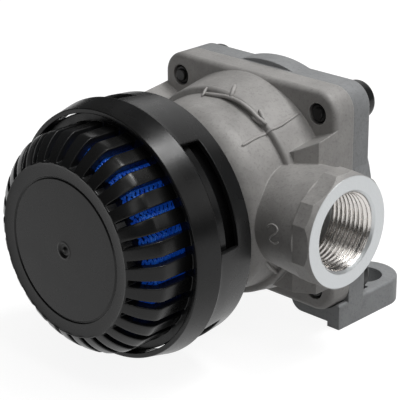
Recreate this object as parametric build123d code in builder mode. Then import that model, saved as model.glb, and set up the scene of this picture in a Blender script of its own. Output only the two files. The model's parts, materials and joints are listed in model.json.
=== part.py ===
from build123d import *

import os
from math import cos, radians, sin

# Vent valve: a cast aluminium valve body with two side ports, a rear cover with the
# inlet port and two mounting lugs, and a large moulded silencer on the exhaust side.
# The origin lies on the mounting plane, midway between the two lug holes. The main
# axis runs along Y at axis_height, with the silencer towards -Y and the inlet towards
# +Y. The side ports lie on an X axis that crosses the main axis at port_y.

# Frame of the valve
axis_height = 38.3
port_y = -35.4

# Flange and cover joint
flange_half = 32.6
lobe_radius = 6.5
screw_offset = flange_half - lobe_radius
flange_setback = 10.0
flange_thickness = 7.7
flange_rounding = 1.6
cover_thickness = 7.2
cover_rounding = 0.8
flange_front = port_y + flange_setback
joint_y = flange_front + flange_thickness
cover_rear = joint_y + cover_thickness

# Body casting, outside
barrel_front_radius = 30.4
barrel_rear_radius = 32.2
step_reach = 2.0
step_y = port_y - step_reach
step_rounding = 1.2
band_rear_radius = 28.4
band_front_radius = 27.6
dome_radius = 7.5
shoulder_reach = 17.0
shoulder_y = port_y - shoulder_reach
neck_radius = 19.5
neck_length = 11.5
neck_front = shoulder_y - neck_length
port_arm_root_radius = 14.2
port_arm_radius = 16.0
port_arm_root = 22.0
port_boss_sides = 6
port_boss_flats = 15.75
port_boss_corner_flats = 16.35
port_boss_start = 40.0
port_face = 45.8
port_face_radius = 15.6
port_face_slope = 1.5

# Cast pads between the port arms and the flange
pad_bottom = 23.5
pad_top_front = 20.5
pad_top_rear = 23.7
pad_top_fall = 3.0
pad_inner = 25.0
pad_slant_width = 5.8
pad_slant_depth = 3.4
right_pad_length = 6.7
left_pad_length = 13.0

# Threaded ports
thread_radius = 11.0
thread_depth = 15.0
thread_lead_in = 0.7
inlet_thread_run_out = 2.0
port_passage_radius = 8.5
port_passage_overlap = 4.0

# Body casting, inside
disc_chamber_radius = 23.0
disc_chamber_depth = 11.2
disc_chamber_front = joint_y - disc_chamber_depth
ring_chamber_radius = 21.0
ring_chamber_depth = 15.5
ring_chamber_front = disc_chamber_front - ring_chamber_depth
seat_bore_radius = 17.0
seat_bore_depth = 4.0
seat_bore_front = ring_chamber_front - seat_bore_depth
exhaust_radius = 14.0

# Rear cover
rim_radius = 34.0
rim_setback = 0.8
rim_front = joint_y + rim_setback
cap_radius = 27.5
cap_height = 4.5
cap_rounding = 3.0
inlet_boss_radius = 16.5
inlet_boss_length = 19.1
inlet_boss_chamfer = 0.8
inlet_face = cover_rear + inlet_boss_length
cover_cavity_radius = 23.0
cover_cavity_depth = 3.0
inlet_lip_outer = 15.0
inlet_lip_inner = 13.0
inlet_passage_radius = 9.0

# Mounting lugs
lug_thickness = 7.6
lug_radius = 9.0
lug_x = flange_half - lug_radius
lug_reach = 4.1
lug_front = joint_y - lug_reach
lug_tail = 1.6
lug_rounding = 0.8
lug_hole_radius = 5.5
lug_clearance = 0.4
lug_relief_depth = 1.5
lug_relief_length = 9.0
lug_relief_side = 4.3
lug_inner_rounding = 4.0

# Cover screws
screw_radius = 3.0
thread_clearance = 0.03
screw_clearance = 0.3
screw_head_radius = 5.6
screw_head_height = 4.0
screw_head_rounding = 1.6
spot_face_clearance = 0.6
screw_socket_flats = 4.0
screw_socket_depth = 2.2
screw_end_recess = 1.8
screw_end_chamfer = 0.6

# Sealing ring of the joint
joint_ring_radius = 25.5
joint_ring_section = 0.9
groove_side_clearance = 0.1

# Moving valve disc
disc_radius = 21.3
disc_thickness = 2.6
disc_edge_chamfer = 0.65
disc_gap = 0.15
disc_travel = 3.5
carrier_plate_radius = 11.0
carrier_plate_thickness = 1.6
stem_radius = 3.0
stem_clearance = 0.05
stem_end_chamfer = 0.6
stem_standout = 0.5
stem_tail_radius = 2.5
washer_radius = 7.5
washer_thickness = 1.0
nut_flats = 8.0
nut_thickness = 3.2
tail_standout = 0.8

# Exhaust seat and stem guide
seat_tube_outer = 15.4
seat_tube_inner = 13.0
seat_lip_width = 1.2
seat_ring_section = 0.8
press_clearance = 0.02
guide_length = 6.0
guide_setback = 2.0
guide_rear = seat_bore_front + guide_setback + guide_length
stem_front = guide_rear - guide_length - stem_standout
guide_hub_radius = 7.0
guide_arm_width = 2.4
guide_arm_count = 3
guide_rim = 1.6

# Return spring
spring_mean_radius = 4.9
spring_wire_radius = 0.55
spring_pitch = 2.9
spring_gap = 0.1

# Inlet strainer
strainer_flange_radius = 10.0
strainer_flange_thickness = 1.0
strainer_wall = 0.8
strainer_depth = 3.5
strainer_hole_radius = 0.85
strainer_hole_pitch = 2.5
strainer_rings = 2
strainer_first_ring_holes = 6
strainer_seat = inlet_face - thread_depth - inlet_thread_run_out

# Silencer cage
cage_radius = 30.5
cage_length = 33.0
cage_wall = 2.8
cage_disc_inset = 7.6
cage_disc_thickness = 2.4
cage_groove_inset = 3.2
cage_groove_width = 0.5
cage_groove_depth = 0.5
cage_pip_radius = 2.2
cage_pip_width = 0.35
cage_pip_height = 0.3
shoulder_start_inset = 6.9
shoulder_rise = 0.4
shoulder_mid_inset = 2.8
shoulder_mid_height = 2.6
shoulder_height = 6.4
cage_ring_standout = 2.4
cage_ring_length = 10.0
cage_ring_inset = 2.4
cage_tail_standout = 0.6
slot_count = 30
slot_angle = 4.3
slot_first = 10.5
slot_start_inset = 6.6

# Silencer collar
collar_wall = 1.4
collar_gap = 8.0
collar_rear = shoulder_y - collar_gap
collar_rear_wall = 1.6
collar_rear_rounding = 0.6
collar_length = 20.4
lip_gap = 4.0
lip_radius = cage_radius + lip_gap
lip_front = collar_rear - collar_length
lip_flare = 0.5
lip_flare_length = 2.6
ridge_standout = 1.5
ridge_radius = lip_radius + ridge_standout
ridge_inset = 7.2
ridge_y = lip_front + ridge_inset
ridge_step = 0.4
collar_fall = 0.1
collar_rear_radius = lip_radius - collar_fall
window_inset = 5.6
window_rear = collar_rear - window_inset
window_angle = 49.5
window_count = 4
window_first = 61.3
sleeve_wall = 2.4
sleeve_gap = 2.8
sleeve_rear = shoulder_y - sleeve_gap
sleeve_clearance = 0.15
sleeve_ring_section = 0.9
sleeve_ring_inset = 3.0
sleeve_ring_y = sleeve_rear - sleeve_ring_inset

# Silencer cage, places
cage_rear = collar_rear - collar_rear_wall
cage_face = cage_rear - cage_length
cage_side_y = cage_face + shoulder_height
cage_ring_front = lip_front + cage_ring_inset
cage_disc_radius = cage_radius - cage_disc_inset
shoulder_start_radius = cage_radius - shoulder_start_inset
shoulder_mid_radius = cage_radius - shoulder_mid_inset
shoulder_mid_y = cage_face + shoulder_mid_height
slot_start_radius = cage_radius - slot_start_inset

# Filter and core tube
filter_wall = 2.4
filter_clearance = 0.2
core_inner = 13.0
core_wall = 1.5
core_flange_radius = 19.0
core_flange_thickness = 1.5
core_hole_radius = 2.2
core_hole_columns = 8
core_hole_rows = 4
core_hole_pitch = 5.8
core_first_row = 6.0

# Ring clip that holds the collar on the body's neck
neck_clip_thickness = 1.0
neck_clip_standout = 1.8
neck_clip_depth = 0.9
neck_clip_opening = 30.0

main_axis = Axis((0, 0, axis_height), (0, 1, 0))
port_axis = Axis((0, port_y, axis_height), (1, 0, 0))
profile_plane = Plane.XY.offset(axis_height)

# Cone that turns the corners of a port boss down to its round face
port_cone_radius = port_boss_flats / cos(radians(180 / port_boss_sides))
port_cone_end = port_face - (port_cone_radius - port_face_radius) * port_face_slope


def front_plane(y):
    """Plane across the main axis at y, facing the silencer's side."""
    return Plane(origin=(0, y, axis_height), x_dir=(1, 0, 0), z_dir=(0, -1, 0))


def port_plane(x, side):
    """Plane across the port axis at side * x, facing away from the valve."""
    return Plane(origin=(side * x, port_y, axis_height), x_dir=(0, 1, 0), z_dir=(side, 0, 0))


def sector_corners(angle, width, reach):
    """Corners of a wedge from the axis, centred on an angle from the top, towards +X."""
    first = radians(angle - width / 2)
    last = radians(angle + width / 2)
    return [(0, 0), (reach * sin(first), reach * cos(first)), (reach * sin(last), reach * cos(last))]


def shoulder_point(depth):
    """Middle of the cage's shoulder, at a depth below its outer surface."""
    slant = radians(45)
    return (shoulder_mid_radius - depth * cos(slant), shoulder_mid_y + depth * sin(slant))


def save(piece, name):
    """Label a finished piece and write it as a STEP file."""
    piece.part.label = name
    export_step(piece.part, f"parts/{name}.step")


def ring(radius, section, y):
    """Round sealing ring about the main axis."""
    with BuildPart() as made:
        with BuildSketch(profile_plane):
            with Locations((radius, y)):
                Circle(section)
        revolve(axis=main_axis)
    return made


os.makedirs("parts", exist_ok=True)

# Valve body: the square flange with a pad at each side, the barrel, stepped band, domed
# front and neck turned about the main axis, then the port arms with their bosses
with BuildPart() as valve_body:
    with BuildSketch(front_plane(joint_y)):
        RectangleRounded(2 * flange_half, 2 * flange_half, lobe_radius)
    extrude(amount=flange_thickness)
    fillet(valve_body.faces().sort_by(Axis.Y)[0].edges(), radius=flange_rounding)

    for side, pad_length in ((1, right_pad_length), (-1, left_pad_length)):
        pad_front = flange_front - pad_length
        for y, top in ((joint_y, pad_top_rear), (pad_front - pad_slant_depth, pad_top_front)):
            with BuildSketch(front_plane(y)):
                Polygon(
                    (0, -pad_bottom),
                    (side * flange_half, -pad_bottom),
                    (side * flange_half, top),
                    (side * pad_inner, top - pad_top_fall),
                    (0, top - pad_top_fall),
                    align=None,
                )
        loft(ruled=True)
        with BuildSketch(profile_plane.offset(-pad_bottom)):
            Polygon(
                (side * flange_half, pad_front),
                (side * flange_half, pad_front - pad_slant_depth),
                (side * (flange_half - pad_slant_width), pad_front - pad_slant_depth),
                align=None,
            )
        extrude(amount=pad_bottom + pad_top_rear, mode=Mode.SUBTRACT)

    with BuildSketch(profile_plane):
        with BuildLine():
            neck_line = Polyline(
                (0, neck_front),
                (neck_radius, neck_front),
                (neck_radius, shoulder_y),
                (band_front_radius - dome_radius, shoulder_y),
            )
            dome = JernArc(start=neck_line @ 1, tangent=(1, 0), radius=dome_radius, arc_size=90)
            band = Polyline(
                dome @ 1,
                (band_rear_radius, step_y),
                (barrel_front_radius - step_rounding, step_y),
            )
            step = JernArc(start=band @ 1, tangent=(1, 0), radius=step_rounding, arc_size=90)
            Polyline(
                step @ 1,
                (barrel_rear_radius, flange_front),
                (barrel_rear_radius, joint_y),
                (0, joint_y),
                (0, neck_front),
            )
        make_face()
    revolve(axis=main_axis)

    for side in (1, -1):
        with BuildSketch(port_plane(port_arm_root, side)):
            Circle(port_arm_root_radius)
        with BuildSketch(port_plane(port_boss_start, side)):
            Circle(port_arm_radius)
        loft()
        with BuildSketch(port_plane(port_boss_start, side)):
            RegularPolygon(
                port_boss_flats,
                port_boss_sides,
                major_radius=False,
                rotation=180 / port_boss_sides,
            )
            RegularPolygon(
                port_boss_corner_flats,
                port_boss_sides,
                major_radius=False,
                mode=Mode.INTERSECT,
            )
        extrude(amount=port_face - port_boss_start)
        with BuildSketch(profile_plane):
            Polygon(
                (side * port_face, port_y - port_face_radius),
                (side * port_face, port_y - port_cone_radius),
                (side * port_cone_end, port_y - port_cone_radius),
                align=None,
            )
        revolve(axis=port_axis, mode=Mode.SUBTRACT)

    with BuildSketch(profile_plane):
        Polygon(
            (0, joint_y),
            (disc_chamber_radius, joint_y),
            (disc_chamber_radius, disc_chamber_front),
            (ring_chamber_radius, disc_chamber_front),
            (ring_chamber_radius, ring_chamber_front),
            (seat_bore_radius, ring_chamber_front),
            (seat_bore_radius, seat_bore_front),
            (exhaust_radius, seat_bore_front),
            (exhaust_radius, neck_front),
            (0, neck_front),
            align=None,
        )
    revolve(axis=main_axis, mode=Mode.SUBTRACT)

    for side in (1, -1):
        with BuildSketch(port_plane(port_face, side)):
            Circle(thread_radius)
        extrude(amount=-thread_depth, mode=Mode.SUBTRACT)
        with BuildSketch(port_plane(port_face, side)):
            Circle(port_passage_radius)
        extrude(amount=ring_chamber_radius - port_passage_overlap - port_face, mode=Mode.SUBTRACT)
        mouth = valve_body.faces().filter_by(Axis.X).sort_by(Axis.X)[-1 if side > 0 else 0]
        chamfer(mouth.inner_wires().edges(), length=thread_lead_in)

    with BuildSketch(front_plane(flange_front)):
        with GridLocations(2 * screw_offset, 2 * screw_offset, 2, 2):
            Circle(screw_radius + thread_clearance)
    extrude(amount=flange_front - joint_y, mode=Mode.SUBTRACT)

    # Grooves of the neck: one for the sealing ring, one for the ring clip
    for groove_y, groove_half, groove_floor in (
        (sleeve_ring_y, sleeve_ring_section, neck_radius + sleeve_clearance - 2 * sleeve_ring_section),
        (cage_rear - neck_clip_thickness / 2, neck_clip_thickness / 2, neck_radius - neck_clip_depth),
    ):
        with BuildSketch(profile_plane):
            with Locations(((groove_floor + neck_radius) / 2, groove_y)):
                Rectangle(neck_radius - groove_floor, 2 * (groove_half + groove_side_clearance))
        revolve(axis=main_axis, mode=Mode.SUBTRACT)
save(valve_body, "valve_body")

# Two lugs of the rear cover, which reach forward under the flange and back past the cap
with BuildPart() as cover_lugs:
    with BuildSketch(Plane.XY):
        for side in (1, -1):
            with Locations((side * lug_x, lug_tail)):
                Circle(lug_radius)
            with Locations((side * lug_x, (lug_front + lug_tail) / 2)):
                Rectangle(2 * lug_radius, lug_tail - lug_front)
    extrude(amount=lug_thickness)
    fillet(cover_lugs.edges().group_by(Axis.Z)[-1], radius=lug_rounding)

# Rear cover: square plate with legs down to its lugs, a round rim and cap, and the
# inlet boss
with BuildPart() as rear_cover:
    with BuildSketch(front_plane(cover_rear)):
        RectangleRounded(2 * flange_half, 2 * flange_half, lobe_radius)
        for side in (1, -1):
            with Locations((side * lug_x, -(screw_offset + axis_height) / 2)):
                Rectangle(2 * lug_radius, axis_height - screw_offset)
    extrude(amount=cover_thickness)
    fillet(rear_cover.faces().sort_by(Axis.Y)[-1].edges(), radius=cover_rounding)
    add(cover_lugs.part)
    with BuildSketch(front_plane(cover_rear)):
        Circle(rim_radius)
    extrude(amount=cover_rear - rim_front)

    with BuildSketch(profile_plane):
        with BuildLine():
            cap_side = Line((cap_radius, cover_rear), (cap_radius, cover_rear + cap_height - cap_rounding))
            cap_turn = JernArc(start=cap_side @ 1, tangent=(0, 1), radius=cap_rounding, arc_size=90)
            Polyline(
                cap_turn @ 1,
                (inlet_boss_radius, cover_rear + cap_height),
                (inlet_boss_radius, inlet_face - inlet_boss_chamfer),
                (inlet_boss_radius - inlet_boss_chamfer, inlet_face),
                (0, inlet_face),
                (0, cover_rear),
                cap_side @ 0,
            )
        make_face()
    revolve(axis=main_axis)

    # Room for the body's flange in front of the joint
    with BuildSketch(front_plane(joint_y)):
        RectangleRounded(
            2 * (flange_half + lug_clearance),
            2 * (flange_half + lug_clearance),
            lobe_radius + lug_clearance,
        )
    extrude(amount=joint_y - lug_front, mode=Mode.SUBTRACT)

    # Underside relief beside the machined pads, rounded up into the lug's inner side,
    # then the mounting holes
    relief_width = 2 * lug_radius - lug_relief_side
    with BuildSketch(front_plane(lug_front)):
        for side in (1, -1):
            corner_x = side * (lug_x - lug_radius)
            corner_z = lug_relief_depth - axis_height
            with Locations((corner_x + side * relief_width / 2, corner_z - lug_relief_depth / 2)):
                Rectangle(relief_width, lug_relief_depth)
            with Locations((corner_x + side * lug_inner_rounding / 2, corner_z + lug_inner_rounding / 2)):
                Rectangle(lug_inner_rounding, lug_inner_rounding)
            with Locations((corner_x + side * lug_inner_rounding, corner_z + lug_inner_rounding)):
                Circle(lug_inner_rounding, mode=Mode.SUBTRACT)
    extrude(amount=-lug_relief_length, mode=Mode.SUBTRACT)
    with BuildSketch(Plane.XY):
        with Locations((lug_x, 0), (-lug_x, 0)):
            Circle(lug_hole_radius)
    extrude(amount=lug_thickness, mode=Mode.SUBTRACT)

    # Cavity with the inlet lip, the strainer's seat and the threaded inlet
    with BuildSketch(profile_plane):
        Polygon(
            (inlet_lip_outer, joint_y),
            (cover_cavity_radius, joint_y),
            (cover_cavity_radius, joint_y + cover_cavity_depth),
            (inlet_lip_outer, joint_y + cover_cavity_depth),
            align=None,
        )
        Polygon(
            (0, joint_y),
            (inlet_lip_inner, joint_y),
            (inlet_lip_inner, joint_y + cover_cavity_depth),
            (inlet_passage_radius, joint_y + cover_cavity_depth),
            (inlet_passage_radius, strainer_seat),
            (strainer_flange_radius + press_clearance, strainer_seat),
            (strainer_flange_radius + press_clearance, strainer_seat + strainer_flange_thickness),
            (thread_radius, strainer_seat + strainer_flange_thickness),
            (thread_radius, inlet_face - thread_lead_in),
            (thread_radius + thread_lead_in, inlet_face),
            (0, inlet_face),
            align=None,
        )
    revolve(axis=main_axis, mode=Mode.SUBTRACT)

    with BuildSketch(front_plane(joint_y)):
        with GridLocations(2 * screw_offset, 2 * screw_offset, 2, 2):
            Circle(screw_radius + screw_clearance)
    extrude(amount=joint_y - cover_rear, mode=Mode.SUBTRACT)

    # Spot faces of the screw heads, which also cut into the lugs' upper side
    with BuildSketch(front_plane(cover_rear)):
        with GridLocations(2 * screw_offset, 2 * screw_offset, 2, 2):
            Circle(screw_head_radius + spot_face_clearance)
    extrude(amount=-(screw_head_height + spot_face_clearance), mode=Mode.SUBTRACT)

    # Groove of the sealing ring
    with BuildSketch(profile_plane):
        with Locations((joint_ring_radius, joint_y + joint_ring_section)):
            Rectangle(2 * (joint_ring_section + groove_side_clearance), 2 * joint_ring_section)
    revolve(axis=main_axis, mode=Mode.SUBTRACT)
save(rear_cover, "rear_cover")

# Cover screws: domed heads at the rear, ends that show in the flange's front holes
screw_places = [
    (side_x * screw_offset, side_z * screw_offset)
    for side_z in (1, -1)
    for side_x in (1, -1)
]
for number, place in enumerate(screw_places, start=1):
    with BuildPart() as cover_screw:
        with BuildSketch(front_plane(cover_rear)):
            with Locations(place):
                Circle(screw_head_radius)
        extrude(amount=-screw_head_height)
        fillet(cover_screw.edges().group_by(Axis.Y)[-1], radius=screw_head_rounding)
        with BuildSketch(front_plane(cover_rear)):
            with Locations(place):
                Circle(screw_radius)
        extrude(amount=cover_rear - flange_front - screw_end_recess)
        chamfer(cover_screw.edges().group_by(Axis.Y)[0], length=screw_end_chamfer)
        with BuildSketch(front_plane(cover_rear + screw_head_height)):
            with Locations(place):
                RegularPolygon(screw_socket_flats / 2, 6, major_radius=False)
        extrude(amount=screw_socket_depth, mode=Mode.SUBTRACT)
    save(cover_screw, f"cover_screw_{number}")

save(ring(joint_ring_radius, joint_ring_section, joint_y + joint_ring_section), "cover_o_ring")

# Moving valve disc with its metal carrier, washer and nut
disc_rear = joint_y - disc_gap
disc_front = disc_rear - disc_thickness
washer_rear = disc_rear + washer_thickness
nut_rear = washer_rear + nut_thickness

with BuildPart() as valve_disc:
    with BuildSketch(front_plane(disc_rear)):
        Circle(disc_radius)
        Circle(stem_tail_radius + stem_clearance, mode=Mode.SUBTRACT)
    extrude(amount=disc_thickness)
    outer_edges = valve_disc.edges().filter_by(GeomType.CIRCLE).sort_by(SortBy.RADIUS)[-2:]
    chamfer(outer_edges, length=disc_edge_chamfer)
save(valve_disc, "valve_disc")

with BuildPart() as disc_carrier:
    with BuildSketch(profile_plane):
        Polygon(
            (0, stem_front),
            (stem_radius, stem_front),
            (stem_radius, disc_front - carrier_plate_thickness),
            (carrier_plate_radius, disc_front - carrier_plate_thickness),
            (carrier_plate_radius, disc_front),
            (stem_tail_radius, disc_front),
            (stem_tail_radius, nut_rear + tail_standout),
            (0, nut_rear + tail_standout),
            align=None,
        )
    revolve(axis=main_axis)
    chamfer(disc_carrier.edges().group_by(Axis.Y)[0], length=stem_end_chamfer)
save(disc_carrier, "disc_carrier")

with BuildPart() as disc_washer:
    with BuildSketch(front_plane(washer_rear)):
        Circle(washer_radius)
        Circle(stem_tail_radius + stem_clearance, mode=Mode.SUBTRACT)
    extrude(amount=washer_thickness)
save(disc_washer, "disc_washer")

with BuildPart() as disc_nut:
    with BuildSketch(front_plane(nut_rear)):
        RegularPolygon(nut_flats / 2, 6, major_radius=False)
        Circle(stem_tail_radius + thread_clearance, mode=Mode.SUBTRACT)
    extrude(amount=nut_thickness)
save(disc_nut, "disc_nut")

# Exhaust seat: a turned tube with a narrow lip, pressed into the body by its foot
seat_lip_y = disc_front - disc_travel - disc_gap
seat_foot_radius = seat_bore_radius - press_clearance
seat_ring_y = (seat_bore_front + ring_chamber_front) / 2
seat_ring_floor = seat_bore_radius - 2 * seat_ring_section
with BuildPart() as exhaust_seat:
    with BuildSketch(profile_plane):
        Polygon(
            (seat_tube_inner, seat_bore_front),
            (seat_foot_radius, seat_bore_front),
            (seat_foot_radius, ring_chamber_front),
            (seat_tube_outer, ring_chamber_front),
            (seat_tube_outer, seat_lip_y - seat_lip_width),
            (seat_tube_inner + seat_lip_width, seat_lip_y),
            (seat_tube_inner, seat_lip_y),
            align=None,
        )
        with Locations(((seat_ring_floor + seat_bore_radius) / 2, seat_ring_y)):
            Rectangle(
                seat_bore_radius - seat_ring_floor,
                2 * (seat_ring_section + groove_side_clearance),
                mode=Mode.SUBTRACT,
            )
    revolve(axis=main_axis)
save(exhaust_seat, "exhaust_seat")
save(ring(seat_bore_radius - seat_ring_section, seat_ring_section, seat_ring_y), "seat_o_ring")

# Stem guide: rim, arms and hub inside the exhaust seat
guide_rim_radius = seat_tube_inner - press_clearance
with BuildPart() as stem_guide:
    with BuildSketch(front_plane(guide_rear)):
        Circle(guide_rim_radius)
        Circle(guide_rim_radius - guide_rim, mode=Mode.SUBTRACT)
        with PolarLocations((guide_rim_radius - guide_rim / 2) / 2, guide_arm_count, start_angle=90):
            Rectangle(guide_rim_radius - guide_rim / 2, guide_arm_width)
        Circle(guide_hub_radius)
        Circle(stem_radius + stem_clearance, mode=Mode.SUBTRACT)
    extrude(amount=guide_length)
save(stem_guide, "stem_guide")

# Return spring between the guide's hub and the carrier plate
spring_start = guide_rear + spring_wire_radius + spring_gap
spring_length = disc_front - carrier_plate_thickness - spring_wire_radius - spring_gap - spring_start
with BuildPart() as return_spring:
    with BuildLine() as coil:
        Helix(
            pitch=spring_pitch,
            height=spring_length,
            radius=spring_mean_radius,
            center=(0, spring_start, axis_height),
            direction=(0, 1, 0),
        )
    with BuildSketch(Plane(origin=coil.line @ 0, z_dir=coil.line % 0)):
        Circle(spring_wire_radius)
    sweep(is_frenet=True)
save(return_spring, "return_spring")

# Inlet strainer: a flanged cup with a perforated floor
strainer_floor = strainer_seat - strainer_depth
with BuildPart() as inlet_strainer:
    with BuildSketch(profile_plane):
        Polygon(
            (0, strainer_floor),
            (inlet_passage_radius - press_clearance, strainer_floor),
            (inlet_passage_radius - press_clearance, strainer_seat),
            (strainer_flange_radius, strainer_seat),
            (strainer_flange_radius, strainer_seat + strainer_flange_thickness),
            (inlet_passage_radius - strainer_wall, strainer_seat + strainer_flange_thickness),
            (inlet_passage_radius - strainer_wall, strainer_floor + strainer_wall),
            (0, strainer_floor + strainer_wall),
            align=None,
        )
    revolve(axis=main_axis)
    with BuildSketch(front_plane(strainer_floor)):
        Circle(strainer_hole_radius)
        for ring_number in range(1, strainer_rings + 1):
            with PolarLocations(ring_number * strainer_hole_pitch, ring_number * strainer_first_ring_holes):
                Circle(strainer_hole_radius)
    extrude(amount=-strainer_wall, mode=Mode.SUBTRACT)
save(inlet_strainer, "inlet_strainer")

# Silencer collar: flared skirt with four windows, a rear wall and a sleeve on the neck
sleeve_inner = neck_radius + sleeve_clearance
sleeve_outer = sleeve_inner + sleeve_wall
ridge_inner = ridge_radius - ridge_step - collar_wall
with BuildPart() as silencer_collar:
    with BuildSketch(profile_plane):
        Polygon(
            (lip_radius - collar_wall, lip_front),
            (lip_radius, lip_front),
            (lip_radius + lip_flare, lip_front + lip_flare_length),
            (ridge_radius, ridge_y),
            (ridge_radius - ridge_step, ridge_y + ridge_step),
            (collar_rear_radius, collar_rear),
            (sleeve_outer, collar_rear),
            (sleeve_outer, sleeve_rear),
            (sleeve_inner, sleeve_rear),
            (sleeve_inner, cage_rear),
            (collar_rear_radius - collar_wall, cage_rear),
            (ridge_inner, ridge_y + ridge_step),
            (lip_radius + lip_flare - collar_wall, lip_front + lip_flare_length),
            align=None,
        )
    revolve(axis=main_axis)
    rear_edges = silencer_collar.edges().filter_by_position(Axis.Y, collar_rear, collar_rear)
    fillet(rear_edges.sort_by(SortBy.RADIUS)[-1], radius=collar_rear_rounding)
    with BuildSketch(front_plane(window_rear)):
        for number in range(window_count):
            angle = window_first + number * 360 / window_count
            Polygon(*sector_corners(angle, window_angle, 2 * ridge_radius), align=None)
        Circle(sleeve_outer + cage_wall, mode=Mode.SUBTRACT)
    extrude(amount=window_rear - ridge_y - ridge_step, mode=Mode.SUBTRACT)
save(silencer_collar, "silencer_collar")

# Silencer cage: disc, rounded shoulder and side with slots, and a solid rear ring that
# nearly fills the collar
cage_inner = cage_radius - cage_wall
cage_ring_radius = cage_radius + cage_ring_standout
cage_tail_radius = cage_radius + cage_tail_standout
with BuildPart() as silencer_cage:
    with BuildSketch(profile_plane):
        with BuildLine():
            face_line = Polyline(
                (0, cage_face),
                (cage_disc_radius, cage_face),
                (shoulder_start_radius, cage_face - shoulder_rise),
            )
            shoulder = ThreePointArc(
                face_line @ 1,
                (shoulder_mid_radius, shoulder_mid_y),
                (cage_radius, cage_side_y),
            )
            rear_line = Polyline(
                shoulder @ 1,
                (cage_radius, cage_ring_front),
                (cage_ring_radius, cage_ring_front),
                (cage_ring_radius, cage_ring_front + cage_ring_length),
                (cage_tail_radius, cage_ring_front + cage_ring_length),
                (cage_tail_radius, cage_rear),
                (cage_inner, cage_rear),
                (cage_inner, cage_side_y),
            )
            inner_shoulder = ThreePointArc(
                rear_line @ 1,
                shoulder_point(cage_wall),
                (shoulder_start_radius - cage_wall / 2, cage_face + cage_disc_thickness),
            )
            Polyline(inner_shoulder @ 1, (0, cage_face + cage_disc_thickness), (0, cage_face))
        make_face()
        with Locations((cage_disc_radius - cage_groove_inset, cage_face)):
            Rectangle(cage_groove_width, 2 * cage_groove_depth, mode=Mode.SUBTRACT)
        with Locations((cage_pip_radius, cage_face)):
            Rectangle(cage_pip_width, 2 * cage_pip_height)
    revolve(axis=main_axis)

    slot_reach = cage_radius + cage_wall
    slot_half = radians(slot_angle / 2)
    with BuildSketch(front_plane(cage_ring_front)):
        with PolarLocations(0, slot_count, start_angle=90 - slot_first):
            Polygon(
                (slot_start_radius, slot_start_radius * sin(slot_half)),
                (slot_start_radius, -slot_start_radius * sin(slot_half)),
                (slot_reach, -slot_reach * sin(slot_half)),
                (slot_reach, slot_reach * sin(slot_half)),
                align=None,
            )
    extrude(amount=cage_ring_front - cage_face + cage_wall, mode=Mode.SUBTRACT)
save(silencer_cage, "silencer_cage")

# Filter: a knitted sleeve that lies against the inside of the cage and its shoulder
filter_outer = cage_inner - filter_clearance
with BuildPart() as filter_knit:
    with BuildSketch(profile_plane):
        with BuildLine():
            outer_side = Line((filter_outer, cage_rear), (filter_outer, cage_side_y))
            outer_turn = ThreePointArc(
                outer_side @ 1,
                shoulder_point(cage_wall + filter_clearance),
                (shoulder_start_radius - cage_wall / 2, cage_face + cage_disc_thickness + filter_clearance),
            )
            front_edge = Line(outer_turn @ 1, outer_turn @ 1 + (-filter_wall / 2, filter_wall))
            inner_turn = ThreePointArc(
                front_edge @ 1,
                shoulder_point(cage_wall + filter_clearance + filter_wall),
                (filter_outer - filter_wall, cage_side_y),
            )
            Polyline(inner_turn @ 1, (filter_outer - filter_wall, cage_rear), outer_side @ 0)
        make_face()
    revolve(axis=main_axis)
save(filter_knit, "filter_knit")

# Core tube: stands on the neck's face and reaches the cage's disc, with rows of holes
core_front = cage_face + cage_disc_thickness
core_outer = core_inner + core_wall
with BuildPart() as core_tube:
    with BuildSketch(front_plane(neck_front)):
        Circle(core_outer)
        Circle(core_inner, mode=Mode.SUBTRACT)
    extrude(amount=neck_front - core_front)
    with BuildSketch(front_plane(neck_front)):
        Circle(core_flange_radius)
        Circle(core_inner, mode=Mode.SUBTRACT)
    extrude(amount=core_flange_thickness)
    for row in range(core_hole_rows):
        row_y = neck_front - core_first_row - row * core_hole_pitch
        for column in range(core_hole_columns):
            turn = radians(column * 360 / core_hole_columns)
            with BuildSketch(Plane((0, row_y, axis_height), (0, 1, 0), (sin(turn), 0, cos(turn)))):
                Circle(core_hole_radius)
            extrude(amount=core_outer, mode=Mode.SUBTRACT)
save(core_tube, "core_tube")

sleeve_ring_radius = neck_radius + sleeve_clearance - sleeve_ring_section
save(ring(sleeve_ring_radius, sleeve_ring_section, sleeve_ring_y), "silencer_o_ring")

# Open ring clip in the neck's front groove, which keeps the collar on the neck
with BuildPart() as silencer_clip:
    with BuildSketch(front_plane(cage_rear)):
        Circle(neck_radius + neck_clip_standout)
        Circle(neck_radius - neck_clip_depth, mode=Mode.SUBTRACT)
        Polygon(*sector_corners(180, neck_clip_opening, 2 * neck_radius), align=None, mode=Mode.SUBTRACT)
    extrude(amount=neck_clip_thickness)
save(silencer_clip, "silencer_clip")
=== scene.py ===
import json
import random
from math import asin, atan2, cos, hypot, pi, radians, sin

import bmesh
import bpy
from mathutils import Matrix, Vector


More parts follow.
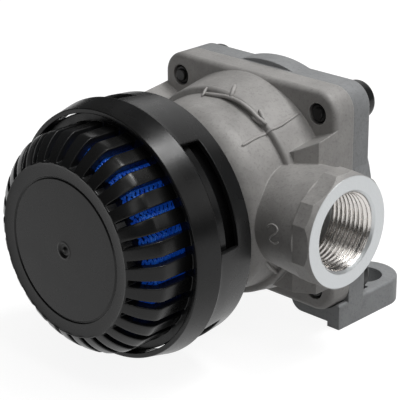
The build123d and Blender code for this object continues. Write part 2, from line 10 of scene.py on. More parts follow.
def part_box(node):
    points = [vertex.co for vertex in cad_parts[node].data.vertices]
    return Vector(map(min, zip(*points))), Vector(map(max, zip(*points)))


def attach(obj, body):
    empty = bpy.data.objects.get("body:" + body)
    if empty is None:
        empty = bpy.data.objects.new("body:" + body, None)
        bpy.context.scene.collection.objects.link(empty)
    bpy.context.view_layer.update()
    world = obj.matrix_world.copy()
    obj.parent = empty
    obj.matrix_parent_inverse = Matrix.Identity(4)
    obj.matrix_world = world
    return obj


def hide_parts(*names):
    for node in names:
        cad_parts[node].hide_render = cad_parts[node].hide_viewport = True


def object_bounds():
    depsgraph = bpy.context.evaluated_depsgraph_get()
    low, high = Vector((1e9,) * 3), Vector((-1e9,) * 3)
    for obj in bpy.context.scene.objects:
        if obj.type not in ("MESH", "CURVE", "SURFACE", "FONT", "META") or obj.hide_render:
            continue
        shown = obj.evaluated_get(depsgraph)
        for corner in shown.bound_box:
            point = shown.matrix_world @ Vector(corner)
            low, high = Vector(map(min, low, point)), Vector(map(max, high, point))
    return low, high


# Looks of the vent valve: castings, black moulded silencer, blue knit, threads and
# casting marks. Lengths of the shapes are in millimetres and are scaled to metres when
# a mesh is made. Materials, lamps and the camera use metres. Depths along the silencer
# are counted from its disc or from the collar's lip, towards the valve body.

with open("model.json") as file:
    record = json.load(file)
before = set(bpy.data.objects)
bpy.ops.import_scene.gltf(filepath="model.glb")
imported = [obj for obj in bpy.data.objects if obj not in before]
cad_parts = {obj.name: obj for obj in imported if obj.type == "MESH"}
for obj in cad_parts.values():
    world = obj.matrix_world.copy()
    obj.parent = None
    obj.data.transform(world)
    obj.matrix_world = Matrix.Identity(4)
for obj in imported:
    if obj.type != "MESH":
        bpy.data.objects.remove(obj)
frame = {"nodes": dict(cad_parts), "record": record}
cad_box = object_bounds()

MM = 0.001

# Places taken from the frame's own boxes and mounts
mounts = {m["name"]: m for m in frame["record"]["mounts"]}
AXIS_HEIGHT = mounts["port_right"]["pos_m"][2]
PORT_Y = mounts["port_right"]["pos_m"][1]
THREAD_RADIUS = mounts["port_right"]["dims"]["r_mm"]
PORT_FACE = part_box("valve_body")[1].x
INLET_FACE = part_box("rear_cover")[1].y
SHOULDER_RISE = 0.4
CAGE_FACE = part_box("silencer_cage")[0].y / MM + SHOULDER_RISE
LIP_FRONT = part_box("silencer_collar")[0].y / MM

# Camera fitted to the photograph
CAMERA_PLACE = Vector((0.29608, PORT_Y - 0.31116, 0.20654))
CAMERA_AZIMUTH = 44.43
CAMERA_ELEVATION = 21.76
CAMERA_ROLL = -0.49
CAMERA_LENS = 146.4
SENSOR = 36.0


def towards(azimuth, elevation):
    """Unit vector towards angles in degrees. Azimuth 0 is -Y and azimuth 90 is +X."""
    a, e = radians(azimuth), radians(elevation)
    return Vector((sin(a) * cos(e), -cos(a) * cos(e), sin(e)))


def camera_axes():
    """Right, up and back axes of the fitted camera."""
    azimuth, roll = radians(CAMERA_AZIMUTH), radians(CAMERA_ROLL)
    back = towards(CAMERA_AZIMUTH, CAMERA_ELEVATION)
    level = Vector((cos(azimuth), sin(azimuth), 0))
    rise = back.cross(level)
    right = level * cos(roll) + rise * sin(roll)
    up = rise * cos(roll) - level * sin(roll)
    return right, up, back


def make_camera():
    data = bpy.data.cameras.new("camera")
    data.lens = CAMERA_LENS
    data.sensor_width = SENSOR
    camera = bpy.data.objects.new("camera", data)
    bpy.context.scene.collection.objects.link(camera)
    right, up, back = camera_axes()
    turn = Matrix((right, up, back)).transposed().to_4x4()
    camera.matrix_world = Matrix.Translation(CAMERA_PLACE) @ turn
    bpy.context.scene.camera = camera


# Painted highlight on the castings' edges, where light catches their rounding: where it starts and is
# full, as the cosine between the rounded and the flat normal, with the most that it covers and how much
# lighter it is
EDGE_START = 0.985
EDGE_FULL = 0.90
EDGE_SHARE = 0.6
EDGE_HIGHLIGHT_LIGHTER = 1.45

CAST_METALLIC = 0.12
CAST_SPECULAR = 0.28
PLASTIC_SPECULAR = 0.27

# Turned and milled places, with the spacing of their rings
MACHINED_COLOR = (0.66, 0.68, 0.69, 1.0)
MACHINED_ROUGHNESS = 0.34
MACHINED_METALLIC = 0.70
RING_PITCH = 0.30 * MM
BORE_FROM = 0.0215
BORE_TO = 0.0225

KNIT_DEEP = (0.008, 0.070, 0.75, 1.0)
KNIT_BRIGHT = (0.06, 0.32, 1.0, 1.0)
KNIT_SHADE = (0.0, 0.006, 0.14, 1.0)
# Painted glow of the yarn, which lightens it where it lies in shade
KNIT_GLOW = (0.01, 0.14, 0.85, 1.0)
KNIT_GLOW_LEVEL = 0.10
# Near-black colours of the sleeve under the yarn, painted dark for the shade deep in the knit
CLOTH_DARK = (0.0, 0.001, 0.010, 1.0)
CLOTH_LIGHT = (0.001, 0.006, 0.06, 1.0)


class Shader:
    """A small helper that adds nodes to one material's tree."""

    def __init__(self, name):
        self.material = bpy.data.materials.new(name)
        self.material.use_nodes = True
        self.tree = self.material.node_tree
        self.bsdf = self.tree.nodes["Principled BSDF"]
        self.place = self.add("ShaderNodeTexCoord").outputs["Object"]

    def add(self, kind, **settings):
        node = self.tree.nodes.new(kind)
        for key, value in settings.items():
            setattr(node, key, value)
        return node

    def link(self, source, target):
        self.tree.links.new(source, target)

    def put(self, value, socket):
        """Links a socket or sets a constant."""
        if isinstance(value, bpy.types.NodeSocket):
            self.link(value, socket)
        else:
            socket.default_value = value

    def noise(self, scale, detail=2.0, roughness=0.5):
        node = self.add("ShaderNodeTexNoise")
        node.inputs["Scale"].default_value = scale
        node.inputs["Detail"].default_value = detail
        node.inputs["Roughness"].default_value = roughness
        self.link(self.place, node.inputs["Vector"])
        return node.outputs["Fac"]

    def math(self, operation, first, second=0.0):
        node = self.add("ShaderNodeMath", operation=operation)
        for value, socket in zip((first, second), node.inputs):
            self.put(value, socket)
        return node.outputs[0]

    def ramp(self, value, low, high, out_low=0.0, out_high=1.0):
        """Maps low..high to out_low..out_high, clamped."""
        node = self.add("ShaderNodeMapRange")
        self.put(value, node.inputs["Value"])
        for name, number in (
            ("From Min", low),
            ("From Max", high),
            ("To Min", out_low),
            ("To Max", out_high),
        ):
            self.put(number, node.inputs[name])
        return node.outputs["Result"]

    def mix(self, factor, first, second):
        """Mixes two colours."""
        node = self.add("ShaderNodeMix", data_type="RGBA")
        self.put(factor, node.inputs["Factor"])
        for value, name in ((first, "A_Color"), (second, "B_Color")):
            socket = next(s for s in node.inputs if s.identifier == name)
            self.put(value, socket)
        return next(s for s in node.outputs if s.identifier == "Result_Color")

    def blend(self, factor, first, second):
        """Mixes two numbers."""
        node = self.add("ShaderNodeMix", data_type="FLOAT")
        self.put(factor, node.inputs["Factor"])
        self.put(first, node.inputs["A"])
        self.put(second, node.inputs["B"])
        return node.outputs["Result"]

    def axis(self, name):
        """One coordinate of the surface point."""
        if not hasattr(self, "split_node"):
            self.split_node = self.add("ShaderNodeSeparateXYZ")
            self.link(self.place, self.split_node.inputs["Vector"])
        return self.split_node.outputs[name]

    def distance(self, axis_name, centre):
        """Distance from a line along one axis through centre."""
        names = [n for n in "XYZ" if n != axis_name]
        squares = []
        for n in names:
            offset = self.math("SUBTRACT", self.axis(n), centre["XYZ".index(n)])
            squares.append(self.math("MULTIPLY", offset, offset))
        return self.math("SQRT", self.math("ADD", squares[0], squares[1]))

    def bump(self, height, strength, distance, normal=None):
        node = self.add("ShaderNodeBump")
        node.inputs["Strength"].default_value = strength
        node.inputs["Distance"].default_value = distance
        self.link(height, node.inputs["Height"])
        if normal is not None:
            self.link(normal, node.inputs["Normal"])
        return node.outputs["Normal"]

    def soft_edges(self, radius):
        """Normal that rounds off the hard edges of a CAD node."""
        node = self.add("ShaderNodeBevel", samples=4)
        node.inputs["Radius"].default_value = radius
        return node.outputs["Normal"]

    def edge_highlight_mask(self, rounded):
        """Share of painted edge highlight where the rounded normal leaves the flat one."""
        flat = self.add("ShaderNodeNewGeometry").outputs["Normal"]
        node = self.add("ShaderNodeVectorMath", operation="DOT_PRODUCT")
        self.link(rounded, node.inputs[0])
        self.link(flat, node.inputs[1])
        return self.ramp(node.outputs["Value"], EDGE_START, EDGE_FULL, 0.0, EDGE_SHARE)

    def set(self, **values):
        """Sets inputs of the surface by their short names."""
        for key, value in values.items():
            name = "Base Color" if key == "color" else key.capitalize()
            self.put(value, self.bsdf.inputs[name])


def grey(level, warmth=0.0):
    """Linear colour near a grey level, warmer for positive warmth."""
    return (level * (1 + warmth), level, level * (1 - warmth), 1.0)


def cast_metal(name, light, dark, warmth, machined, edge=0.45 * MM):
    """Satin cast aluminium. machined lists the turned or milled places, as functions that
    give a mask and the distance that their rings follow."""
    shader = Shader(name)
    blotches = shader.noise(90, detail=4, roughness=0.6)
    grain = shader.noise(1300, detail=3, roughness=0.65)
    tone = shader.ramp(blotches, 0.35, 0.65)
    color = shader.mix(tone, grey(dark, warmth), grey(light, warmth))
    speck = shader.ramp(grain, 0.52, 0.72, 0.0, 0.45)
    color = shader.mix(speck, color, grey(dark * 0.6, warmth))
    rough = shader.ramp(blotches, 0.3, 0.7, 0.46, 0.58)
    normal = None
    if edge:
        normal = shader.soft_edges(edge)
        # Painted highlight: the casting's colour is lightened along its rounded edges
        color = shader.mix(shader.edge_highlight_mask(normal), color, grey(light * EDGE_HIGHLIGHT_LIGHTER, warmth))
    normal = shader.bump(grain, 0.55, 0.00012, normal)
    height = shader.noise(420, detail=3)
    normal = shader.bump(height, 0.35, 0.0002, normal)
    metallic = CAST_METALLIC
    if machined:
        mask = None
        rings = None
        for spot in machined:
            area, reach = spot(shader)
            mask = area if mask is None else shader.math("MAXIMUM", mask, area)
            wave = shader.math("SINE", shader.math("MULTIPLY", reach, 2 * pi / RING_PITCH))
            part = shader.math("MULTIPLY", wave, area)
            rings = part if rings is None else shader.math("ADD", rings, part)
        color = shader.mix(mask, color, MACHINED_COLOR)
        rough = shader.blend(mask, rough, MACHINED_ROUGHNESS)
        metallic = shader.blend(mask, metallic, MACHINED_METALLIC)
        normal = shader.bump(rings, 0.10, 0.00002, normal)
    shader.set(color=color, roughness=rough, metallic=metallic, normal=normal)
    shader.bsdf.inputs["Specular IOR Level"].default_value = CAST_SPECULAR
    return shader.material


def milled_face(shader, along, level):
    """Mask of a flat face that looks out along an axis."""
    return shader.ramp(along, level - 0.10 * MM, level - 0.02 * MM)


def threaded_wall(shader, reach):
    """Mask of what lies within a thread's radius."""
    wall = THREAD_RADIUS * MM
    return shader.ramp(reach, wall + 1.0 * MM, wall + 0.8 * MM)


def body_machined():
    """Faces and bores of the two side ports."""
    centre = (0.0, PORT_Y, AXIS_HEIGHT)

    def spot(shader):
        reach = shader.distance("X", centre)
        out = shader.math("ABSOLUTE", shader.axis("X"))
        face = milled_face(shader, out, PORT_FACE)
        outer_part = shader.ramp(out, BORE_FROM, BORE_TO)
        bore = shader.math("MULTIPLY", threaded_wall(shader, reach), outer_part)
        return shader.math("MAXIMUM", face, bore), reach

    return [spot]


def cover_machined():
    """Face and bore of the inlet port, and the lugs' undersides."""
    centre = (0.0, 0.0, AXIS_HEIGHT)

    def inlet(shader):
        reach = shader.distance("Y", centre)
        face = milled_face(shader, shader.axis("Y"), INLET_FACE)
        return shader.math("MAXIMUM", face, threaded_wall(shader, reach)), reach

    def underside(shader):
        return shader.ramp(shader.axis("Z"), 0.06 * MM, 0.02 * MM), shader.axis("Y")

    return [inlet, underside]


def moulded_plastic(name, level, rough, edge=0.0):
    """Black moulded plastic with a faint surface texture."""
    shader = Shader(name)
    clouds = shader.noise(70, detail=3)
    fine = shader.noise(1800, detail=2)
    tone = shader.ramp(clouds, 0.35, 0.65)
    color = shader.mix(tone, grey(level, 0.02), grey(level * 1.25, -0.03))
    roughness = shader.ramp(shader.noise(160, detail=3), 0.3, 0.7, rough - 0.04, rough + 0.05)
    normal = shader.soft_edges(edge) if edge else None
    normal = shader.bump(fine, 0.12, 0.00004, normal)
    shader.set(color=color, roughness=roughness, normal=normal)
    shader.bsdf.inputs["Specular IOR Level"].default_value = PLASTIC_SPECULAR
    return shader.material


def knit_yarn():
    """Royal blue synthetic yarn with fine strands, and a faint painted glow that lightens its shaded
    parts.
    """
    shader = Shader("knit_yarn")
    strands = shader.noise(5200, detail=2)
    patches = shader.noise(420, detail=2)
    color = shader.mix(shader.ramp(patches, 0.35, 0.62), KNIT_DEEP, KNIT_BRIGHT)
    color = shader.mix(shader.ramp(strands, 0.4, 0.7, 0.0, 0.6), color, KNIT_SHADE)
    shader.set(color=color, roughness=0.38, normal=shader.bump(strands, 0.4, 0.0001))
    # Painted glow: a faint blue emission lightens the yarn's shaded parts
    shader.bsdf.inputs["Emission Color"].default_value = KNIT_GLOW
    shader.bsdf.inputs["Emission Strength"].default_value = KNIT_GLOW_LEVEL
    return shader.material


def painted_shade_cloth():
    """Near-black cloth under the yarn, painted dark for the shade deep in the knit."""
    shader = Shader("knit_base")
    weave = shader.noise(900, detail=2)
    color = shader.mix(shader.ramp(weave, 0.35, 0.65), CLOTH_DARK, CLOTH_LIGHT)
    shader.set(color=color, roughness=0.8, normal=shader.bump(weave, 0.5, 0.0002))
    return shader.material


def bright_metal(name, level, warmth, rough):
    """Turned or drawn metal with fine marks."""
    shader = Shader(name)
    marks = shader.noise(1500, detail=2)
    color = shader.mix(marks, grey(level * 0.85, warmth), grey(level, warmth))
    shader.set(
        color=color,
        roughness=shader.ramp(marks, 0.3, 0.7, rough - 0.05, rough + 0.08),
        metallic=1.0,
        normal=shader.bump(marks, 0.1, 0.00002),
    )
    return shader.material


def rubber(name):
    shader = Shader(name)
    bloom = shader.noise(500, detail=3)
    color = shader.mix(shader.ramp(bloom, 0.4, 0.7), grey(0.018), grey(0.035))
    roughness = shader.ramp(bloom, 0.3, 0.7, 0.6, 0.75)
    shader.set(color=color, roughness=roughness, normal=shader.bump(bloom, 0.15, 0.00005))
    return shader.material


def dress(node, material):
    """Gives a CAD node a material."""
    obj = frame["nodes"][node]
    obj.data.materials.clear()
    obj.data.materials.append(material)


# Shapes


def on_main(radius, y, turn):
    """Point at a radius and angle about the main axis, from the top towards +X."""
    return Vector((radius * sin(turn), y, AXIS_HEIGHT / MM + radius * cos(turn)))


def arc_points(first, middle, last, count):
    """Points on the circle through three points, ends included."""
    ax, ay = middle[0] - first[0], middle[1] - first[1]
    bx, by = last[0] - first[0], last[1] - first[1]
    area = 2 * (ax * by - ay * bx)
    cx = first[0] + (by * (ax * ax + ay * ay) - ay * (bx * bx + by * by)) / area
    cy = first[1] + (ax * (bx * bx + by * by) - bx * (ax * ax + ay * ay)) / area
    radius = hypot(first[0] - cx, first[1] - cy)
    start = atan2(first[1] - cy, first[0] - cx)
    end = atan2(last[1] - cy, last[0] - cx)
    turn = (end - start + pi) % (2 * pi) - pi
    points = []
    for step in range(count + 1):
        angle = start + turn * step / count
        points.append((cx + radius * cos(angle), cy + radius * sin(angle)))
    return points


def line_points(first, last, count):
    """Evenly spaced points on a line, ends included."""
    points = []
    for step in range(count + 1):
        share = step / count
        x = first[0] + (last[0] - first[0]) * share
        y = first[1] + (last[1] - first[1]) * share
        points.append((x, y))
    return points


# Points nearer than this to the start of a cut path are dropped
LEAST_STEP = 0.05


def from_radius(points, radius):
    """The part of a path beyond a radius, starting exactly there."""
    for index in range(1, len(points)):
        if points[index][0] > radius:
            a, b = points[index - 1], points[index]
            share = (radius - a[0]) / (b[0] - a[0])
            start = (radius, a[1] + (b[1] - a[1]) * share)
            rest = points[index:]
            return [start] + [
                p for p in rest if p[0] > radius + LEAST_STEP or p[1] > start[1] + LEAST_STEP
            ]
    return points


def path_lengths(points):
    """Length along a path up to each of its points."""
    lengths = [0.0]
    for a, b in zip(points, points[1:]):
        lengths.append(lengths[-1] + hypot(b[0] - a[0], b[1] - a[1]))
    return lengths


def respaced(points, count):
    """The same path with count + 1 points at even steps along it."""
    lengths = path_lengths(points)
    result = []
    index = 0
    for step in range(count + 1):
        goal = lengths[-1] * step / count
        while index < len(points) - 2 and lengths[index + 1] < goal:
            index += 1
        share = (goal - lengths[index]) / (lengths[index + 1] - lengths[index])
        a, b = points[index], points[index + 1]
        result.append((a[0] + (b[0] - a[0]) * share, a[1] + (b[1] - a[1]) * share))
    return result


def add_object(name, vertices, faces, material, smooth=True):
    """Mesh object from points in millimetres."""
    mesh = bpy.data.meshes.new(name)
    mesh.from_pydata([tuple(v * MM for v in p) for p in vertices], [], faces)
    mesh.materials.append(material)
    work = bmesh.new()
    work.from_mesh(mesh)
    loose = [v for v in work.verts if not v.link_faces]
    bmesh.ops.delete(work, geom=loose, context="VERTS")
    bmesh.ops.recalc_face_normals(work, faces=work.faces)
    for face in work.faces:
        face.smooth = smooth
    work.to_mesh(mesh)
    work.free()
    obj = bpy.data.objects.new(name, mesh)
    bpy.context.scene.collection.objects.link(obj)
    return obj


def slotted_shell(name, front, outer, inner, cut, columns, is_open, material, closed_front):
    """Turned wall with openings. outer and inner are lists of (radius, depth) stations,
    counted from the front. cut gives the first and the last station of the openings in
    each list, columns the angles round the axis and is_open which of them are cut."""
    count = len(columns)
    vertices = []
    rows = {}
    for side, stations in (("outer", outer), ("inner", inner)):
        rows[side] = []
        for radius, depth in stations:
            if radius == 0:
                vertices.append(on_main(0, front + depth, 0))
                rows[side].append([len(vertices) - 1] * count)
                continue
            start = len(vertices)
            vertices.extend(on_main(radius, front + depth, turn) for turn in columns)
            rows[side].append(list(range(start, start + count)))
    faces = []

    def add_face(*corners):
        distinct = list(dict.fromkeys(corners))
        if len(distinct) > 2:
            faces.append(distinct)

    for side in ("outer", "inner"):
        first, last = cut[side]
        for s in range(len(rows[side]) - 1):
            a, b = rows[side][s], rows[side][s + 1]
            for i in range(count):
                if first <= s < last and is_open[i]:
                    continue
                j = (i + 1) % count
                add_face(a[i], a[j], b[j], b[i])
    for i in range(count):
        j = (i + 1) % count
        ends = (-1,) if closed_front else (-1, 0)
        for end in ends:
            a, b = rows["outer"][end], rows["inner"][end]
            add_face(a[i], a[j], b[j], b[i])
        if is_open[i]:
            for end in (0, 1):
                a, b = rows["outer"][cut["outer"][end]], rows["inner"][cut["inner"][end]]
                add_face(a[i], a[j], b[j], b[i])
        if is_open[i] != is_open[i - 1]:
            for step in range(cut["outer"][1] - cut["outer"][0]):
                a = rows["outer"][cut["outer"][0] + step]
                b = rows["outer"][cut["outer"][0] + step + 1]
                c = rows["inner"][cut["inner"][0] + step + 1]
                d = rows["inner"][cut["inner"][0] + step]
                add_face(a[i], b[i], c[i], d[i])
    return add_object(name, vertices, faces, material)


SHARP_ANGLE = radians(28)


def round_edges(obj, width, least_radius):
    """Bevels the sharp edges that lie beyond a radius from the main axis."""
    mesh = obj.data
    work = bmesh.new()
    work.from_mesh(mesh)
    weight = work.edges.layers.float.new("bevel_weight_edge")
    for edge in work.edges:
        middle = (edge.verts[0].co + edge.verts[1].co) / 2
        reach = hypot(middle.x, middle.z - AXIS_HEIGHT)
        beyond = len(edge.link_faces) == 2 and reach > least_radius * MM
        if beyond and edge.calc_face_angle() > SHARP_ANGLE:
            edge[weight] = 1.0
    work.to_mesh(mesh)
    work.free()
    bevel = obj.modifiers.new("bevel", "BEVEL")
    bevel.limit_method = "WEIGHT"
    bevel.width = width * MM
    bevel.segments = 2
    bevel.use_clamp_overlap = False
    weighted = obj.modifiers.new("weighted", "WEIGHTED_NORMAL")
    weighted.mode = "FACE_AREA"
    weighted.weight = 80


# Silencer cage: slots between ribs, from the shoulder to a depth of SLOT_END, with
# angles in degrees
SLOT_COUNT = 30
SLOT_ANGLE = 4.3
SLOT_FIRST = 10.5
SLOT_START_RADIUS = 23.9
SLOT_END = 16.6
ARC_PARTS = 24
CAGE_STATIONS = 22
# Shoulder, as (radius, depth) of three points of its arc
CAGE_OUTER_ARC = ((23.6, -SHOULDER_RISE), (27.7, 2.6), (30.5, 6.4))
CAGE_INNER_ARC = ((22.2, 2.4), (25.72, 4.58), (27.7, 6.4))
# Disc from its middle outwards: gate mark, plain face, groove and rim
CAGE_DISC = (
    (0, -0.15),
    (0.35, -0.12),
    (0.6, 0.05),
    (0.75, 0.35),
    (1.5, 0.40),
    (1.8, 0.05),
    (2.0, -0.12),
    (2.25, -0.18),
    (2.5, -0.12),
    (2.75, 0.0),
    (10.0, 0.0),
    (19.2, 0.0),
    (19.35, 0.05),
    (19.5, 0.3),
    (19.7, 0.4),
    (19.9, 0.3),
    (20.05, 0.05),
    (20.2, 0.0),
    (22.9, 0.0),
    CAGE_OUTER_ARC[0],
)
CAGE_SKIRT = ((32.9, 16.6), (32.9, 26.6), (31.1, 26.6), (31.1, 33.0))
CAGE_DISC_BACK = ((0, 2.4), (12.0, 2.4), CAGE_INNER_ARC[0], (23.1, 2.82))
CAGE_INNER_END = (27.7, 33.0)
CAGE_EDGE = 0.28
CAGE_EDGE_FROM = 23.7


def slot_columns(count, first, width, open_parts, solid_parts):
    """Column angles round the axis and which columns are open."""
    columns = []
    is_open = []
    pitch = 360 / count
    for number in range(count):
        start = first + number * pitch - width / 2
        for part in range(open_parts):
            columns.append(radians(start + width * part / open_parts))
            is_open.append(True)
        for part in range(solid_parts):
            columns.append(radians(start + width + (pitch - width) * part / solid_parts))
            is_open.append(False)
    return columns, is_open


def cage_paths():
    """Matched outer and inner paths of the slots."""
    outer = arc_points(*CAGE_OUTER_ARC, ARC_PARTS) + [(CAGE_OUTER_ARC[2][0], SLOT_END)]
    inner = arc_points(*CAGE_INNER_ARC, ARC_PARTS) + [(CAGE_INNER_ARC[2][0], SLOT_END)]
    outer = respaced(from_radius(outer, SLOT_START_RADIUS), CAGE_STATIONS)
    inner = respaced(from_radius(inner, SLOT_START_RADIUS), CAGE_STATIONS)
    return outer, inner


def make_cage(material):
    outer_path, inner_path = cage_paths()
    outer = [*CAGE_DISC, *outer_path, *CAGE_SKIRT]
    inner = [*CAGE_DISC_BACK, *inner_path, CAGE_INNER_END]
    cut = {
        "outer": (len(CAGE_DISC), len(CAGE_DISC) + CAGE_STATIONS),
        "inner": (len(CAGE_DISC_BACK), len(CAGE_DISC_BACK) + CAGE_STATIONS),
    }
    columns, is_open = slot_columns(SLOT_COUNT, SLOT_FIRST, SLOT_ANGLE, open_parts=2, solid_parts=4)
    cage = slotted_shell(
        "cage_looks", CAGE_FACE, outer, inner, cut, columns, is_open, material, closed_front=True
    )
    round_edges(cage, CAGE_EDGE, CAGE_EDGE_FROM)
    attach(cage, "valve")
    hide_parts("silencer_cage")


# Silencer collar, as (radius, depth). The windows run from the last point of the lip to
# the point called window end, with angles in degrees.
COLLAR_LIP = ((34.5, 0), (35.0, 2.6), (36.0, 7.2), (35.6, 7.6))
COLLAR_WINDOW_END = (34.925, 14.8)
COLLAR_BACK = ((34.46, 19.8), (34.42, 20.0), (34.22, 20.32), (34.0, 20.4), (22.05, 20.4), (22.05, 25.6))
COLLAR_INNER_LIP = ((33.1, 0), (33.6, 2.6), (34.2, 7.6))
COLLAR_INNER_WINDOW_END = (33.43, 14.8)
COLLAR_INNER_BACK = ((33.0, 18.8), (19.65, 18.8), (19.65, 25.6))
WINDOW_COUNT = 4
WINDOW_FIRST = 61.3
WINDOW_ANGLE = 49.5
WINDOW_STATIONS = 6
COLLAR_EDGE = 0.25
COLLAR_EDGE_FROM = 21.0


def make_collar(material):
    outer = [*COLLAR_LIP]
    outer += line_points(COLLAR_LIP[-1], COLLAR_WINDOW_END, WINDOW_STATIONS)[1:]
    outer += COLLAR_BACK
    inner = [*COLLAR_INNER_LIP]
    inner += line_points(COLLAR_INNER_LIP[-1], COLLAR_INNER_WINDOW_END, WINDOW_STATIONS)[1:]
    inner += COLLAR_INNER_BACK
    first = {"outer": len(COLLAR_LIP) - 1, "inner": len(COLLAR_INNER_LIP) - 1}
    cut = {side: (start, start + WINDOW_STATIONS) for side, start in first.items()}
    columns, is_open = slot_columns(
        WINDOW_COUNT, WINDOW_FIRST, WINDOW_ANGLE, open_parts=24, solid_parts=20
    )
    collar = slotted_shell(
        "collar_looks", LIP_FRONT, outer, inner, cut, columns, is_open, material, closed_front=False
    )
    round_edges(collar, COLLAR_EDGE, COLLAR_EDGE_FROM)
    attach(collar, "valve")
    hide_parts("silencer_collar")


def sweep_rows(path, sizes, sides):
    """Rings of points round a path of vectors, with a frame carried along it."""
    rings = []
    tangent = (path[1] - path[0]).normalized()
    across = tangent.orthogonal().normalized()
    for index, point in enumerate(path):
        ahead = path[min(index + 1, len(path) - 1)]
        behind = path[max(index - 1, 0)]
        fresh = (ahead - behind).normalized()
        across = (across - fresh * across.dot(fresh)).normalized()
        up = fresh.cross(across)
        ring = []
        for side in range(sides):
            turn = 2 * pi * side / sides
            ring.append(point + (across * cos(turn) + up * sin(turn)) * sizes[index])
        rings.append(ring)
    return rings


def add_tube(vertices, faces, path, sizes, sides):
    """Adds a closed tube to lists of points and faces."""
    rings = sweep_rows(path, sizes, sides)
    start = len(vertices)
    for ring in rings:
        vertices.extend(ring)
    for row in range(len(rings) - 1):
        for side in range(sides):
            a = start + row * sides + side
            b = start + row * sides + (side + 1) % sides
            faces.append((a, b, b + sides, a + sides))
    faces.append(tuple(start + side for side in reversed(range(sides))))
    last = start + (len(rings) - 1) * sides
    faces.append(tuple(last + side for side in range(sides)))


# Knit: the shoulder of its outer shape, and where the yarn starts and ends on it
KNIT_ARC = ((22.34, 2.5), (25.58, 4.72), (27.5, 6.4))
KNIT_START_RADIUS = 24.7
KNIT_END = 18.4
KNIT_PARTS = 400
# Sleeve under the yarn, painted near black for the shade deep in the knit: its sink below the outer
# shape, its wall and its back end
SLEEVE_SINK = 0.75
SLEEVE_DROP = 0.55
SLEEVE_DROP_END = 9
SLEEVE_WALL = (1.4, 1.2)
SLEEVE_BACK = (26.75, 33.0)
SLEEVE_BACK_INSIDE = (25.1, 33.0)
SLEEVE_COLUMNS = 120
# Yarn: lines round the sleeve, each swinging from side to side once in a period
YARN_SEED = 7
YARN_LINES = 90
YARN_SIDES = 5
YARN_RADIUS = 0.36
YARN_PERIOD = 1.5
YARN_STEPS = 8
YARN_SWING = 1.05
YARN_SHARPNESS = 0.96
YARN_DEPTH = 0.42
YARN_WEAVE = 0.16


def sleeve_point(radius, depth):
    """Point of the sleeve under a point of the knit's outer shape."""
    sink = SLEEVE_SINK * (0.6 + 0.4 * min(1, depth / KNIT_ARC[2][1]))
    return radius - sink, depth + SLEEVE_DROP * max(0.0, 1 - depth / SLEEVE_DROP_END)


def make_sleeve(top, cloth):
    """Sleeve under the yarn, painted near black for the shade deep in the knit."""
    base = [sleeve_point(*point) for point in top]
    inside = [(r - SLEEVE_WALL[0], d + SLEEVE_WALL[1]) for r, d in base] + [SLEEVE_BACK_INSIDE]
    base += [SLEEVE_BACK]
    columns = [radians(360 / SLEEVE_COLUMNS * step) for step in range(SLEEVE_COLUMNS)]
    solid = [False] * len(columns)
    none = {"outer": (0, 0), "inner": (0, 0)}
    return slotted_shell(
        "knit_base", CAGE_FACE, base, inside, none, columns, solid, cloth, closed_front=False
    )


def make_knit(yarn, cloth):
    """Blue yarn in zigzag lines over a dark sleeve."""
    top = arc_points(*KNIT_ARC, ARC_PARTS)
    sleeve = make_sleeve(top, cloth)
    line = respaced(from_radius(top, KNIT_START_RADIUS) + [(KNIT_ARC[2][0], KNIT_END)], KNIT_PARTS)
    total = path_lengths(line)[-1]
    chance = random.Random(YARN_SEED)
    vertices = []
    faces = []
    steps = int(total / YARN_PERIOD * YARN_STEPS)
    for number in range(YARN_LINES):
        middle = radians(number * 360 / YARN_LINES)
        phase = chance.random()
        drift = chance.uniform(0.92, 1.08)
        path = []
        sizes = []
        for step in range(steps + 1):
            along = total * step / steps
            index = min(int(along / total * KNIT_PARTS), KNIT_PARTS - 1)
            (r0, d0), (r1, d1) = line[index], line[index + 1]
            share = along / total * KNIT_PARTS - index
            radius, depth = r0 + (r1 - r0) * share, d0 + (d1 - d0) * share
            slope = atan2(d1 - d0, r1 - r0)
            wave = (along / YARN_PERIOD * drift + phase) * 2 * pi
            swing = asin(YARN_SHARPNESS * sin(wave)) / asin(YARN_SHARPNESS) * YARN_SWING
            sink = YARN_DEPTH + YARN_WEAVE * (0.5 - 0.5 * cos(2 * wave)) + chance.uniform(-0.03, 0.03)
            radius -= sink * sin(slope)
            depth += sink * cos(slope)
            path.append(on_main(radius, CAGE_FACE + depth, middle + swing / radius))
            sizes.append(YARN_RADIUS * (0.86 + 0.18 * cos(2 * wave) + chance.uniform(-0.05, 0.05)))
        add_tube(vertices, faces, path, sizes, YARN_SIDES)
    knit = add_object("knit_looks", vertices, faces, yarn)
    for piece in (sleeve, knit):
        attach(piece, "valve")
        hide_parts("filter_knit")


# Threads. The backing lies just inside the wall that carries the turns.
THREAD_PITCH = 1.5
THREAD_HEIGHT = 0.82
THREAD_CREST = 1.18
THREAD_FADE = 1.2
THREAD_BACKING = 0.06
THREAD_STEP = 0.125
THREAD_COLUMNS = 96
THREAD_LEAD = 0.7
SIDE_THREAD_LENGTH = 14.2
INLET_THREAD_LENGTH = 15.2


